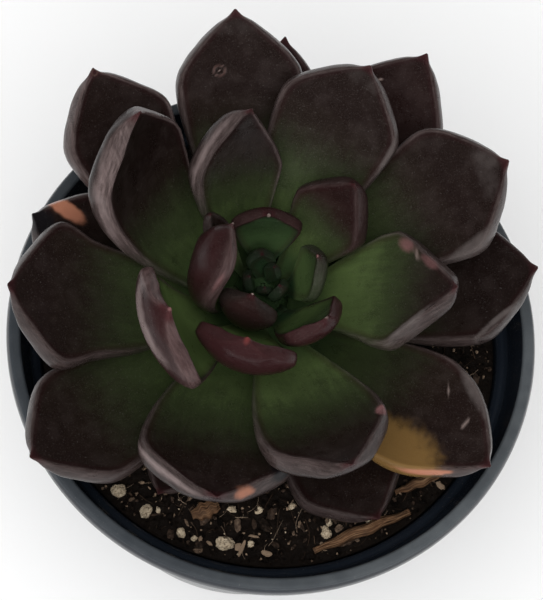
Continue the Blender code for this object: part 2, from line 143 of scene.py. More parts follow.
LEAVES = (
    Leaf(243, -5, 6, 12, 37, 15, thick=3.5),
    Leaf(85, -5, 17, 27, 55, 21),
    Leaf(300, -4, 6, 14, 44, 24),
    Leaf(161, -3, 14, 32, 46, 22),
    Leaf(56, 0, 21, 33, 59, 25),
    Leaf(324, -1, 20, 18, 54, 27, lean=14, pointed=0.5),
    Leaf(133, 1, 22, 42, 56, 23, lean=19, pointed=-0.3),
    Leaf(219, 1, 14, 26, 54, 26),
    Leaf(6, 4, 13, 22, 52, 27),
    Leaf(255, 5.5, 16, 42, 45, 30, lean=-24),
    Leaf(185, 6, 18, 32, 48, 27, lean=7, pointed=-0.6),
    Leaf(97, 6, 24, 34, 55, 26),
    Leaf(27, 8, 25, 34, 53, 27, lean=10, pointed=-0.2),
    Leaf(142, 9, 28, 95, 48, 27, lean=44, roll=-12, margin=3.0, bend=2.0),
    Leaf(290, 11, 22, 46, 44, 26, lean=-8, pointed=0.2),
    Leaf(66, 11, 31, 41, 47, 26, lean=14),
    Leaf(354, 11.5, 34, 46, 39, 24, lean=12, pointed=1.2),
    Leaf(215, 12, 27, 112, 38, 25, thick=4.4, roll=12, cup=0.2, margin=2.2, bend=1.5, lens=1.0),
    Leaf(104, 14, 41, 62, 35, 20, lean=40, roll=-16, margin=3.0, pointed=0.8),
    Leaf(44, 15.5, 42, 58, 26, 17, margin=2.8, pointed=1.0),
    Leaf(256, 15, 33, 100, 28, 20, thick=4.4, roll=4, cup=0.24, margin=2.2, bend=1.2, lens=1.0),
    Leaf(309, 15.5, 48, 78, 23, 14, thick=3.4, lean=-20, cup=0.26, margin=1.8, bend=1.0, lens=0.8),
    Leaf(186, 16, 46, 150, 30, 12, thick=4.0, lean=84, cup=0.2, margin=2.0, bend=1.3, lens=1.0),
    Leaf(142, 17.5, 50, 72, 20, 6, thick=2.4, margin=1.2, bend=1.0, pointed=0.6),
    Leaf(89, 17, 50, 92, 16, 14, thick=3.0, cup=0.2, margin=1.8, bend=1.0, lens=0.8),
    Leaf(4, 17.5, 60, 84, 16, 12, lean=-30, thick=3.0, margin=1.6, bend=1.0, pointed=0.6, lens=0.8),
    Leaf(245, 17.5, 46, 118, 16, 12, thick=3.4, cup=0.2, margin=1.6, bend=1.0, lens=0.6),
)


@dataclass
class Mark:
    """A patch on a leaf. Its middle lies at a share `along` the leaf and `across` it: up to 1 on the
    face, 1.2 on the margin and 2.2 underneath, positive on the clockwise side seen from above. `long`
    and `wide` are half sizes, and `raised` its height, in millimetres. `cover` is how full its colour
    is, `ring` makes it a ring, and `turn` turns it, in degrees."""

    along: float
    across: float
    long: float
    wide: float
    colour: tuple
    cover: float = 1.0
    raised: float = 0.0
    ring: float = 0.0
    turn: float = 0.0


@dataclass
class Looks:
    """A leaf's colouring. `green` gives the shares of its length up to which it is green and from
    which it is dark, `red` tints it maroon, `bloom_and_highlight` is how pale its margin is, partly
    its waxy bloom and partly a painted highlight, `deep` turns its green to a dark bluish one,
    partly its own cooler green and partly painted shade, `shade` is painted shade that darkens the
    whole leaf, `belly` is how much of the green its underside lacks, and `fine` multiplies the steps
    of its mesh."""

    green: tuple = (0.35, 0.75)
    red: float = 0.15
    bloom_and_highlight: float = 0.5
    deep: float = 0.0
    shade: float = 0.0
    belly: float = 0.35
    fine: int = 1
    marks: tuple = ()


SALMON = (0.34, 0.14, 0.085)
PINK = (0.16, 0.075, 0.075)
RUST = (0.12, 0.024, 0.022)
# Painted highlight: the pale colour of streaks and patches where a leaf's margin or underside catches the
# light
PAINTED_HIGHLIGHT = (0.2, 0.155, 0.15)
SCAR = (0.2, 0.15, 0.135)
CALLUS = (0.055, 0.03, 0.026)
SHEEN = (0.095, 0.08, 0.076)
SLATE = (0.008, 0.007, 0.008)
OCHRE = (0.15, 0.085, 0.028)
LIME = (0.105, 0.088, 0.026)

LOOKS = {
    1: Looks(shade=0.3),
    2: Looks(red=0.5),
    3: Looks(shade=0.4),
    4: Looks(marks=(Mark(0.87, 0.7, 5, 1.7, SALMON, turn=40), Mark(0.95, -0.2, 4, 3, SLATE, 0.8))),
    5: Looks(red=0.3, marks=(Mark(0.84, -0.55, 0.5, 0.5, SCAR, 0.8),)),
    6: Looks((0.3, 0.75), marks=(
        Mark(0.66, 1.05, 12, 8, OCHRE, turn=-8), Mark(0.55, 1.1, 6, 3.4, LIME, 1.05),
        Mark(0.8, 1.15, 7, 1.2, SALMON, 1.1), Mark(0.7, -0.62, 1.7, 0.35, SCAR, 0.6, turn=40),
        Mark(0.83, -0.45, 1.7, 0.35, SCAR, 0.6, turn=70), Mark(0.78, -0.95, 8, 1.8, SHEEN, 0.5))),
    7: Looks((0.3, 0.6), bloom_and_highlight=0.8, marks=(Mark(0.985, 0, 0.6, 0.6, CALLUS, ring=0.3, raised=0.1),)),
    8: Looks((0.38, 0.9), shade=0.25),
    9: Looks(shade=0.35, marks=(Mark(0.8, 0.9, 7, 0.7, SHEEN, 0.6),)),
    10: Looks((0.45, 0.92), shade=0.22, marks=(
        Mark(0.93, -1.14, 2.6, 1.5, SALMON, 0.55), Mark(0.8, -1.1, 3, 1.8, SLATE, 0.9),
        Mark(0.86, 1.16, 11, 0.9, PAINTED_HIGHLIGHT, 0.55))),
    11: Looks((0.38, 0.85), shade=0.2),
    12: Looks((0.42, 0.72), fine=2, marks=(
        Mark(0.78, -0.35, 1.1, 1.1, CALLUS, 0.8, ring=0.26, raised=0.14),
        Mark(0.78, -0.35, 0.35, 0.35, SCAR, 0.6), Mark(0.94, 0.1, 8, 2.4, SHEEN, 0.2, turn=90))),
    13: Looks((0.38, 0.76), marks=(
        Mark(0.92, -0.2, 11, 3, SHEEN, 0.28, turn=90), Mark(0.76, 0.95, 10, 1.8, SHEEN, 0.5))),
    14: Looks((0.35, 0.72), bloom_and_highlight=1.3, shade=0.15, marks=(Mark(0.66, -1.12, 18, 1.3, PAINTED_HIGHLIGHT, 0.42),)),
    15: Looks((0.52, 0.95), shade=0.15, marks=(Mark(0.76, -1, 1.4, 1.4, PINK, raised=0.3),)),
    16: Looks((0.4, 0.78), marks=(
        Mark(0.94, 0, 9, 2.4, SHEEN, 0.22, turn=90), Mark(0.72, 1.05, 9, 0.9, SHEEN, 0.5))),
    17: Looks((0.58, 0.96), shade=0.12, marks=(
        Mark(0.68, -0.88, 2.6, 1.5, PINK, 0.55, raised=0.2), Mark(0.74, -0.8, 1.8, 0.6, SCAR, 0.5, turn=40),
        Mark(0.83, -0.88, 3.4, 1.2, PINK, 0.42, raised=0.1), Mark(0.76, 0.98, 6, 0.7, SHEEN, 0.6))),
    18: Looks((0.9, 1.2), red=0.5, bloom_and_highlight=1.1, belly=1.5, marks=(
        Mark(0.99, 0, 0.7, 0.5, PINK, 0.8), Mark(0.82, 2, 10, 3, PAINTED_HIGHLIGHT, 0.68, turn=90))),
    19: Looks((0.45, 0.85), bloom_and_highlight=0.9, shade=0.3, marks=(Mark(0.75, -1.15, 11, 0.9, PAINTED_HIGHLIGHT, 0.5),)),
    20: Looks((0.45, 0.85), red=0.4, bloom_and_highlight=0.25),
    21: Looks((0.9, 1.2), red=0.9, bloom_and_highlight=0.3, belly=1.5, marks=(Mark(0.97, 0, 1.6, 0.8, RUST, 0.6),)),
    22: Looks((0.9, 1.2), red=0.8, bloom_and_highlight=0.3, deep=0.4, belly=1.5, marks=(Mark(0.98, 0.1, 0.5, 0.4, SCAR),)),
    23: Looks((0.9, 1.2), red=0.45, bloom_and_highlight=0.9, belly=1.4, marks=(
        Mark(0.99, 0, 0.5, 0.4, SCAR), Mark(0.7, -1.2, 3, 0.8, PINK, 0.45))),
    24: Looks((0.5, 0.9), bloom_and_highlight=0.4, shade=0.3),
    25: Looks((0.9, 1.2), red=0.6, bloom_and_highlight=0.15, deep=0.8, belly=1.5, marks=(Mark(0.98, 0, 0.5, 0.35, SCAR),)),
    26: Looks((0.95, 1.3), bloom_and_highlight=0.15, deep=0.5, belly=0.5, marks=(Mark(0.98, 0, 0.5, 0.4, PINK),)),
    27: Looks((0.6, 1), red=0.3, bloom_and_highlight=0.15, deep=0.9, belly=1, marks=(Mark(0.99, 0, 0.4, 0.3, SCAR),)),
}
# The bud takes the full dark bluish green: its own cooler green and painted shade of the rosette's heart
BUD_LOOKS = Looks((0.8, 1.2), red=0, bloom_and_highlight=0.05, deep=1, belly=0.4)
BUD_LEAVES = 5
BUD_FIRST = Leaf(100, 18, 62, 92, 9, 6, thick=2.4, margin=0.9, bend=1.0, pointed=0.8)
BUD_SHRINK = 0.87
BUD_CLOSENESS = 0.4

# White grains in the soil, as (x, y, size) from the pot's axis, in millimetres. A grain is a ball of
# radius GRAIN_RADIUS times its size, roughened and a little flattened
GRAINS = (
    (-31.0, -32.5, 3.4), (-25.4, -36.6, 3.2), (-18.2, -41.0, 2.4), (-9.2, -43.2, 4.0), (-3.9, -43.0, 1.8),
    (11.5, -40.2, 2.8), (-7.8, -35.8, 2.0), (-2.3, -35.9, 2.0), (12.1, -38.1, 1.8), (20.6, -37.9, 1.8),
    (4.5, -34.9, 1.8), (-22.9, -36.3, 1.4), (42.0, -8.0, 2.0), (-15.5, -42.0, 1.4),
)
GRAIN_RADIUS = 0.43
# Chips of bark on the soil, as start and end from the pot's axis, width and thickness, in millimetres
BARK_CHIPS = {
    "bark_chip_long": ((9.0, -44.2), (29.0, -35.6), 2.6, 1.6),
    "bark_chip_short": ((26.0, -31.5), (36.0, -27.5), 2.2, 1.2),
    "bark_chip_flat": ((-16.0, -37.4), (-10.4, -35.2), 3.6, 1.0),
}
# Loose bits on the soil: how many there are, with the flakes among the crumbs, and how far they reach
CRUMBS, FLAKES, SPECKS, ROOTLETS = 5400, 760, 170, 620
ROOTLET_STEPS = 12
CRUMB_REACH = 47.3 * MM
LITTER_REACH = 47 * MM


def set_stops(ramp, stops):
    """Gives a colour ramp its stops, each a place and a colour."""
    elements = ramp.color_ramp.elements
    while len(elements) < len(stops):
        elements.new(0.5)
    for element, (place, colour) in zip(elements, stops):
        element.position = place
        element.color = (*colour, 1.0)


class Shader:
    """Builds one material's nodes. Its patterns follow the surface's own place and attributes."""

    def __init__(self, name, gloss):
        self.material = bpy.data.materials.new(name)
        self.material.use_nodes = True
        self.tree = self.material.node_tree
        self.surface = self.tree.nodes["Principled BSDF"]
        self.surface.inputs["Specular IOR Level"].default_value = gloss
        self.place = self.add("ShaderNodeTexCoord").outputs["Object"]

    def add(self, kind, **settings):
        node = self.tree.nodes.new(kind)
        for name, value in settings.items():
            setattr(node, name, value)
        return node

    def feed(self, socket, value):
        if isinstance(value, bpy.types.NodeSocket):
            self.tree.links.new(value, socket)
        elif isinstance(value, tuple) and len(value) == 3 and socket.type == "RGBA":
            socket.default_value = (*value, 1.0)
        else:
            socket.default_value = value

    def fill(self, node, *values, **named):
        """Feeds the node's first sockets, and the named ones, and gives its first result."""
        for socket, value in zip(node.inputs, values):
            self.feed(socket, value)
        for name, value in named.items():
            self.feed(node.inputs[name], value)
        return node.outputs[0]

    def math(self, operation, a, b, clamp=False):
        return self.fill(self.add("ShaderNodeMath", operation=operation, use_clamp=clamp), a, b)

    def times(self, a, b, clamp=False):
        return self.math("MULTIPLY", a, b, clamp)

    def plus(self, a, b):
        return self.math("ADD", a, b)

    def swing(self, pattern, reach):
        """A pattern about a half, made to swing about nothing."""
        return self.times(self.math("SUBTRACT", pattern, 0.5), reach)

    def mix(self, factor, a, b):
        node = self.add("ShaderNodeMix", data_type="RGBA")
        self.feed(node.inputs[0], factor)
        self.feed(node.inputs[6], a)
        self.feed(node.inputs[7], b)
        return node.outputs[2]

    def smooth(self, value, low, high, to_low=0.0, to_high=1.0):
        node = self.add("ShaderNodeMapRange", interpolation_type="SMOOTHSTEP")
        return self.fill(node, value, low, high, to_low, to_high)

    def noise(self, size, detail=2.0, roughness=0.5, vector=None, distortion=0.0):
        return self.fill(self.add("ShaderNodeTexNoise"), Vector=vector or self.place, Scale=1 / size,
                         Detail=detail, Roughness=roughness, Distortion=distortion)

    def vector(self, x, y, z):
        return self.fill(self.add("ShaderNodeCombineXYZ"), x, y, z)

    def attribute(self, name, output="Fac"):
        return self.add("ShaderNodeAttribute", attribute_name=name).outputs[output]

    def ramp(self, factor, *stops):
        node = self.add("ShaderNodeValToRGB")
        set_stops(node, stops)
        return self.fill(node, factor)

    def bump(self, height, distance, normal=None):
        under = {"Normal": normal} if normal else {}
        return self.fill(self.add("ShaderNodeBump"), Height=height, Distance=distance, **under)

    def finish(self, colour, roughness, normal):
        self.fill(self.surface, colour, Roughness=roughness, Normal=normal)
        return self.material


def leaf_material():
    """Living skin: dark maroon-brown with a fine grain, green towards the root, a paler waxy margin that
    also carries a painted highlight, painted bluish shade towards the roots, and painted shade that darkens
    some leaves whole.
    """
    s = Shader("leaf skin", 0.17)
    along, across, inset, red = (s.attribute(name) for name in ("along", "across", "inset", "red"))
    cells = s.noise(0.24 * MM, detail=1.5)
    cloud = s.noise(3.2 * MM, detail=3.0)
    streak = s.noise(1.0, detail=3.0, vector=s.vector(s.times(along, 0.16), s.times(across, 1.1), red))
    sway = s.plus(s.plus(s.swing(cloud, 0.3), s.swing(streak, 0.22)), s.swing(cells, 0.22))
    green = s.plus(s.attribute("green"), sway)
    green_share = s.math("DIVIDE", green, 1.5, clamp=True)
    face = s.ramp(green_share, (0.0, (0.008, 0.0058, 0.0047)), (0.22, (0.0115, 0.0092, 0.0064)),
                  (0.4, (0.0175, 0.02, 0.01)), (0.66, (0.031, 0.043, 0.0165)), (1.0, (0.09, 0.135, 0.042)))
    wax = s.smooth(s.plus(s.noise(7 * MM, detail=4.0, roughness=0.65), cloud), 0.92, 1.25, 0.0, 0.2)
    face = s.mix(s.times(wax, s.smooth(green, 0.9, 0.2), clamp=True), face, (0.038, 0.03, 0.028))
    # A dark bluish green, partly the inner leaves' own cooler green and partly painted shade, deepest near
    # the roots in the rosette's hollow
    deep = s.mix(green_share, (0.0065, 0.0085, 0.006), (0.016, 0.036, 0.015))
    face = s.mix(s.attribute("deep"), face, deep)
    maroon = s.mix(cloud, (0.017, 0.0055, 0.006), (0.032, 0.01, 0.011))
    reddened = s.times(red, s.smooth(green, 0.9, 0.1), clamp=True)
    face = s.mix(reddened, face, maroon)
    grain = s.smooth(cells, 0.52, 0.8)
    face = s.mix(s.times(grain, 0.1), face, (0.16, 0.12, 0.11))
    line = s.times(s.smooth(inset, 0.1, 0.6), s.smooth(inset, 1.9, 0.8))
    face = s.mix(s.times(line, 0.3), face, (0.02, 0.006, 0.007))
    # The margin band: its pale mauve-grey is partly the leaf's own waxy bloom and partly a painted highlight
    # where the margin catches the light, broken into streaks
    band = s.times(s.smooth(inset, 0.75, 0.0), s.smooth(inset, -4.2, -2.4))
    scratch_place = s.vector(s.times(along, 0.35), s.times(inset, 2.4), s.times(across, 0.35))
    scratch = s.noise(1.0, detail=5.0, roughness=0.7, vector=scratch_place)
    band = s.times(band, s.smooth(scratch, 0.32, 0.68, 0.35, 1.0))
    margin = s.mix(reddened, s.mix(streak, (0.06, 0.04, 0.04), (0.28, 0.22, 0.21)),
                   s.mix(streak, (0.034, 0.008, 0.01), (0.12, 0.045, 0.045)))
    colour = s.mix(s.times(band, s.times(s.attribute("bloom_and_highlight"), 0.62), clamp=True), face, margin)
    # Painted shade: each leaf's shade darkens its whole colour, by up to three quarters
    colour = s.mix(s.attribute("shade"), colour, s.mix(0.25, (0.0, 0.0, 0.0), colour))
    cover = s.plus(s.attribute("cover"), s.swing(cloud, 0.25))
    colour = s.mix(s.smooth(cover, 0.12, 0.78), colour, s.attribute("mark", "Color"))
    dust = s.smooth(s.noise(0.3 * MM, detail=1.0), 0.68, 0.76)
    colour = s.mix(s.times(dust, 0.2), colour, (0.15, 0.14, 0.13))
    roughness = s.plus(s.smooth(cloud, 0.3, 0.7, 0.26, 0.36), s.times(grain, 0.14))
    skin = s.bump(cells, 0.022 * MM)
    skin = s.bump(s.noise(0.9 * MM, detail=2.0), 0.035 * MM, normal=skin)
    skin = s.bump(s.times(scratch, s.smooth(inset, 1.2, 0.3)), 0.05 * MM, normal=skin)
    return s.finish(colour, roughness, skin)


def pot_material():
    """Thin blue-black plastic, moulded smooth, with a slight satin grain, and a painted grey sheen on the
    rim's top.
    """
    s = Shader("pot plastic", 0.28)
    grain = s.noise(0.5 * MM, detail=3.0)
    cloud = s.noise(14 * MM, detail=3.0)
    colour = s.mix(cloud, (0.0065, 0.0092, 0.0145), (0.012, 0.016, 0.0225))
    high = s.add("ShaderNodeSeparateXYZ")
    s.feed(high.inputs[0], s.place)
    # Painted sheen: the rim's top is lightened to grey, in blotches and more towards +X, where it catches
    # the light
    rim_top_mask = s.smooth(high.outputs["Z"], POT_HEIGHT - 0.8 * MM, POT_HEIGHT - 0.1 * MM)
    painted_rim_sheen = s.smooth(s.noise(4.0 * MM, detail=5.0, roughness=0.5), 0.3, 0.7, 0.75, 1.0)
    painted_rim_sheen = s.times(painted_rim_sheen, s.smooth(high.outputs["X"], -30 * MM, 40 * MM, 0.5, 1.0))
    colour = s.mix(s.times(rim_top_mask, painted_rim_sheen), colour, (0.078, 0.086, 0.092))
    dust = s.smooth(s.noise(0.22 * MM, detail=1.0), 0.7, 0.78)
    colour = s.mix(s.times(dust, 0.35), colour, (0.2, 0.19, 0.17))
    roughness = s.plus(s.smooth(cloud, 0.3, 0.7, 0.17, 0.26), s.times(dust, 0.3))
    return s.finish(colour, roughness, s.bump(grain, 0.01 * MM))


def soil_material():
    """Damp peat: nearly black, with brown crumbs, each of its own tone."""
    s = Shader("peat", 0.35)
    tone = s.plus(s.attribute("tone"), s.times(s.noise(0.7 * MM, detail=4.0), 0.5))
    colour = s.ramp(tone, (0.22, (0.0028, 0.0023, 0.002)), (0.5, (0.0085, 0.006, 0.0047)),
                    (0.72, (0.048, 0.031, 0.022)), (1.0, (0.22, 0.155, 0.105)))
    rough = s.noise(0.25 * MM, detail=4.0, roughness=0.6)
    wet = s.smooth(s.noise(1.3 * MM, detail=2.0), 0.45, 0.62, 0.35, 0.9)
    return s.finish(colour, wet, s.bump(rough, 0.2 * MM))


def grain_material():
    """Perlite: off-white, with darker pores and a little peat on it."""
    s = Shader("perlite", 0.4)
    pores = s.fill(s.add("ShaderNodeTexVoronoi"), Vector=s.place, Scale=1 / (0.35 * MM))
    pore = s.smooth(pores, 0.0, 0.45)
    cloud = s.noise(0.9 * MM, detail=4.0)
    colour = s.mix(cloud, (0.26, 0.19, 0.115), (0.56, 0.48, 0.36))
    colour = s.mix(pore, (0.2, 0.14, 0.085), colour)
    dirt = s.smooth(s.noise(0.7 * MM, detail=3.0), 0.52, 0.68)
    colour = s.mix(s.times(dirt, 0.75), colour, (0.05, 0.03, 0.018))
    return s.finish(colour, s.smooth(cloud, 0.3, 0.7, 0.7, 0.95), s.bump(pore, 0.08 * MM))


def bark_material():
    """Dry splinters: brown, with dark and pale fibres that run along them."""
    s = Shader("bark fibre", 0.3)
    along, across, tone = (s.attribute(name) for name in ("along", "across", "tone"))
    place = s.vector(s.times(along, 0.22), s.times(across, 3.2), tone)
    fibre = s.noise(1.0, detail=5.0, roughness=0.65, vector=place, distortion=0.4)
    colour = s.ramp(fibre, (0.36, (0.02, 0.01, 0.006)), (0.46, (0.085, 0.042, 0.022)),
                    (0.6, (0.2, 0.115, 0.062)), (0.8, (0.38, 0.26, 0.16)))
    cloud = s.noise(2.5 * MM, detail=3.0)
    colour = s.mix(s.smooth(cloud, 0.5, 0.7, 0.0, 0.6), colour, (0.05, 0.03, 0.02))
    return s.finish(colour, s.smooth(fibre, 0.3, 0.7, 0.95, 0.7), s.bump(fibre, 0.25 * MM))


def fibre_material():
    """Dry rootlets and hairs in the soil, from dark brown to pale straw."""
    s = Shader("rootlet", 0.35)
    tone = s.plus(s.attribute("tone"), s.times(s.noise(1.2 * MM, detail=2.0), 0.3))
    colour = s.ramp(tone, (0.15, (0.022, 0.013, 0.009)), (0.6, (0.085, 0.055, 0.036)),
                    (1.0, (0.28, 0.21, 0.15)))
    return s.finish(colour, s.smooth(tone, 0.0, 1.0, 0.8, 0.6), s.bump(s.noise(0.3 * MM), 0.05 * MM))


def floor_material():
    """A plain pale floor with a barely uneven finish."""
    s = Shader("floor", 0.2)
    cloud = s.noise(60 * MM, detail=3.0)
    colour = s.mix(cloud, (0.86, 0.86, 0.86), (0.88, 0.88, 0.88))
    return s.finish(colour, s.smooth(cloud, 0.3, 0.7, 0.85, 0.95), s.bump(s.noise(2 * MM), 0.02 * MM))


def place_mesh(mesh, replaces):
    """Puts a mesh in the scene as a piece of the part."""
    piece = bpy.data.objects.new(mesh.name, mesh)
    bpy.context.scene.collection.objects.link(piece)
    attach(piece, "root")
    for node in replaces:
        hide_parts(node)


def add_piece(name, points, faces, material, attributes, smooth=True, replaces=()):
    """A piece of the plant, soil or bark, with colours and numbers on its points."""
    mesh = bpy.data.meshes.new(name)
    mesh.from_pydata([tuple(p) for p in np.asarray(points, float)], [], faces)
    for key, values in attributes.items():
        values = np.asarray(values, np.float32)
        if values.ndim == 2:
            colour = np.ones((len(values), 4), np.float32)
            colour[:, :3] = values
            mesh.attributes.new(key, "FLOAT_COLOR", "POINT").data.foreach_set("color", colour.ravel())
        else:
            mesh.attributes.new(key, "FLOAT", "POINT").data.foreach_set("value", values)
    if smooth:
        mesh.shade_smooth()
    mesh.materials.append(material)
    mesh.validate()
    place_mesh(mesh, replaces)


def curve_through(points, shares):
    """A smooth curve through the points that never overshoots them (a monotone cubic)."""
    x, y = np.array(points).T
    step = np.diff(x)
    slope = np.diff(y) / step
    tangent = np.zeros_like(x)
    tangent[0], tangent[-1] = slope[0], slope[-1]
    for i in range(1, len(x) - 1):
        if slope[i - 1] * slope[i] > 0:
            before, after = 2 * step[i] + step[i - 1], step[i] + 2 * step[i - 1]
            tangent[i] = (before + after) / (before / slope[i - 1] + after / slope[i])
    shares = np.asarray(shares, float)
    k = np.clip(np.searchsorted(x, shares, side="right") - 1, 0, len(x) - 2)
    t = (shares - x[k]) / step[k]
    return (
        (1 + 2 * t) * (1 - t) ** 2 * y[k]
        + t * (1 - t) ** 2 * step[k] * tangent[k]
        + t * t * (3 - 2 * t) * y[k + 1]
        + t * t * (t - 1) * step[k] * tangent[k + 1]
    )


def smoothstep(low, high, values):
    t = np.clip((values - low) / (high - low), 0, 1)
    return t * t * (3 - 2 * t)


def field_noise(points, size, seed=0.0):
    """Smooth noise from -1 to 1 at each point, with lumps about `size` across."""
    scaled = np.asarray(points) / size + seed
    return np.array([noise.noise(p) for p in scaled.tolist()])


def stem_radius(z):
    share = np.clip((z - STEM_TAPER_START) / (STEM_TOP - STEM_TAPER_START), 0.0, 1.0)
    return STEM_TIP_RADIUS + (STEM_RADIUS - STEM_TIP_RADIUS) * (1 - share * share) ** 0.8


def leaf_spine(leaf, shares):
    """Points of the leaf's midline from its root, with the directions to its side and up. The leaf
    grows towards +X."""
    middle = np.arange(SPINE_STEPS) + 0.5
    q = middle / SPINE_STEPS
    rise = np.radians(leaf.rise + (leaf.tip_rise - leaf.rise) * q**leaf.bend)
    along = np.stack([np.cos(rise), 0 * rise, np.sin(rise)], axis=1)
    side = np.tile([0.0, -1.0, 0.0], (SPINE_STEPS, 1))
    up = np.cross(side, along)
    roll = np.radians(leaf.roll * np.clip(2 * q, 0, 1))[:, None]
    side, up = side * np.cos(roll) + up * np.sin(roll), up * np.cos(roll) - side * np.sin(roll)
    lean = np.radians(leaf.lean * (q - LEAN_PIVOT))[:, None]
    along, side = along * np.cos(lean) + side * np.sin(lean), side * np.cos(lean) - along * np.sin(lean)
    length = LENGTH_SHARE * leaf.length * MM
    walked = np.vstack([np.zeros(3), np.cumsum(along * length / SPINE_STEPS, axis=0)])
    place = shares * SPINE_STEPS
    k = np.clip(place.astype(int), 0, SPINE_STEPS - 1)
    part = (place - k)[:, None]
    side = np.stack([np.interp(place, middle, side[:, i]) for i in range(3)], axis=1)
    up = np.stack([np.interp(place, middle, up[:, i]) for i in range(3)], axis=1)
    return walked[k] * (1 - part) + walked[k + 1] * part, side, up


def leaf_grid(leaf, stations, across_faces):
    """The leaf's points as a grid of rings. With each goes its place on the skin, in millimetres along
    the leaf, across it from the midline and in from the margin's crest, then its place across as marks
    count it, and how far underneath it is, up to 1."""
    shares = np.concatenate([np.linspace(0, 0.84, int(stations * 0.62), endpoint=False),
                             np.linspace(0.84, 1, int(stations * 0.38))])
    round_width = curve_through(ROUND_OUTLINE, shares)
    pointed_width = curve_through(POINTED_OUTLINE, shares)
    width = (round_width + (pointed_width - round_width) * leaf.pointed) * leaf.width / 2 * MM
    thick = curve_through(THICKNESS, shares) * leaf.thick * MM
    margin = leaf.margin * MM * (0.3 + 0.7 * np.clip((shares - 0.25) / 0.4, 0, 1))
    margin = np.minimum(margin, np.minimum(0.8 * width, 0.62 * thick))
    cup = leaf.cup * np.clip(shares / 0.3, 0.2, 1) * np.clip((1 - shares) / 0.12, 0.1, 1)
    spine, side, up = leaf_spine(leaf, shares)
    edge = cup * width
    face = width - MARGIN_SLOPE * margin
    columns = []
    for t in np.linspace(-math.pi / 2, math.pi / 2, across_faces + 1):
        v = math.sin(t)
        dish = DISH_FILL + (1 - DISH_FILL) * v * v
        columns.append((v * face, edge * dish, v * face, (1 - abs(v)) * face, v, 0))
    right = []
    for turn in np.radians(np.linspace(0, 90, across_faces // 5 + 1)[1:]):
        down = turn / math.radians(90)
        out = face + MARGIN_SLOPE * margin * math.sin(turn) ** 0.9
        right.append((out, edge - (1 - math.cos(turn)) * margin, face + 1.2 * margin * down,
                      -margin * down, 1 + 0.2 * down, 0))
    belly = []
    for turn in np.radians(np.linspace(0, 180, across_faces // 2 + 1)[1:-1]):
        across, down = math.cos(turn), math.sin(turn)
        side_sign = math.copysign(1, across)
        drop = edge - margin - (edge - margin + thick) * down ** (0.8 + 0.7 * leaf.lens)
        reach = width * side_sign * abs(across) ** (0.85 + 0.15 * leaf.lens)
        inner = 1 - abs(across)
        belly.append((reach, drop, side_sign * (width + 1.2 * margin + inner * width),
                      -margin - 3 * MM * down, side_sign * (2.2 - abs(across)), smoothstep(0, 0.5, inner)))
    left = [(-x, z, -w, inset, -v, 0) for x, z, w, inset, v, _ in reversed(right)]
    columns += right + belly + left
    layers = (np.stack([c[i] + 0 * width for c in columns], axis=1) for i in range(6))
    x, z, across, inset, v, on_belly = layers
    points = spine[:, None] + side[:, None] * x[..., None] + up[:, None] * z[..., None]
    along = np.repeat(shares[:, None] * leaf.length, x.shape[1], axis=1)
    return points, along, across / MM, inset / MM, v, on_belly


def grid_normals(points):
    """Outward directions of a grid of closed rings."""
    around = np.roll(points, -1, axis=1) - np.roll(points, 1, axis=1)
    ahead = np.gradient(points, axis=0)
    normal = np.cross(ahead, around)
    length = np.linalg.norm(normal, axis=2, keepdims=True)
    return normal / np.maximum(length, 1e-12)


def loft_faces(rings, size):
    """Faces of a closed loft: bands between rings of `size` points, and an end face at each end."""
    faces = [tuple(reversed(range(size)))]
    for i in range(rings - 1):
        for j in range(size):
            k = (j + 1) % size
            faces.append((i * size + j, i * size + k, (i + 1) * size + k, (i + 1) * size + j))
    faces.append(tuple((rings - 1) * size + j for j in range(size)))
    return faces


def paint_marks(marks, share, v, points, seed):
    """Colour, cover and rise of the leaf's patches at each point, by the straight distance from the
    point of the skin that each patch sits on."""
    colour = np.zeros((*share.shape, 3))
    cover = np.zeros(share.shape)
    raised = np.zeros(share.shape)
    wobble = field_noise(points.reshape(-1, 3), 1.1 * MM, 7.3 + seed).reshape(share.shape)
    for mark in marks:
        i = int(np.argmin(abs(share[:, 0] - mark.along)))
        j = int(np.argmin(abs(v[i] - mark.across)))
        step = min(i + 1, len(share) - 1)
        ahead = points[step, j] - points[i - 1, j]
        beside = points[i, (j + 1) % v.shape[1]] - points[i, j - 1]
        ahead /= max(np.linalg.norm(ahead), 1e-9)
        beside -= ahead * (beside @ ahead)
        beside /= max(np.linalg.norm(beside), 1e-9)
        turn = math.radians(mark.turn)
        long_way = ahead * math.cos(turn) + beside * math.sin(turn)
        wide_way = beside * math.cos(turn) - ahead * math.sin(turn)
        offset = points - points[i, j]
        reach = np.linalg.norm(offset, axis=2)
        a, b = offset @ long_way, offset @ wide_way
        off_plane = np.sqrt(np.maximum(reach**2 - a**2 - b**2, 0))
        distance = np.sqrt((a / (mark.long * MM)) ** 2 + (b / (mark.wide * MM)) ** 2
                           + (off_plane / (max(mark.long, mark.wide) * MM)) ** 2)
        if mark.ring:
            amount = np.exp(-(((distance - 1) / mark.ring) ** 2))
        else:
            amount = smoothstep(1.45, 0.35, distance + 0.15 * wobble)
        over = np.where(cover > 0, smoothstep(-0.3, 0.3, amount * mark.cover - cover), 1.0)[..., None]
        colour += (np.array(mark.colour) - colour) * over
        cover = np.maximum(cover, amount * mark.cover)
        raised += amount * mark.raised * MM
    return colour, cover, raised


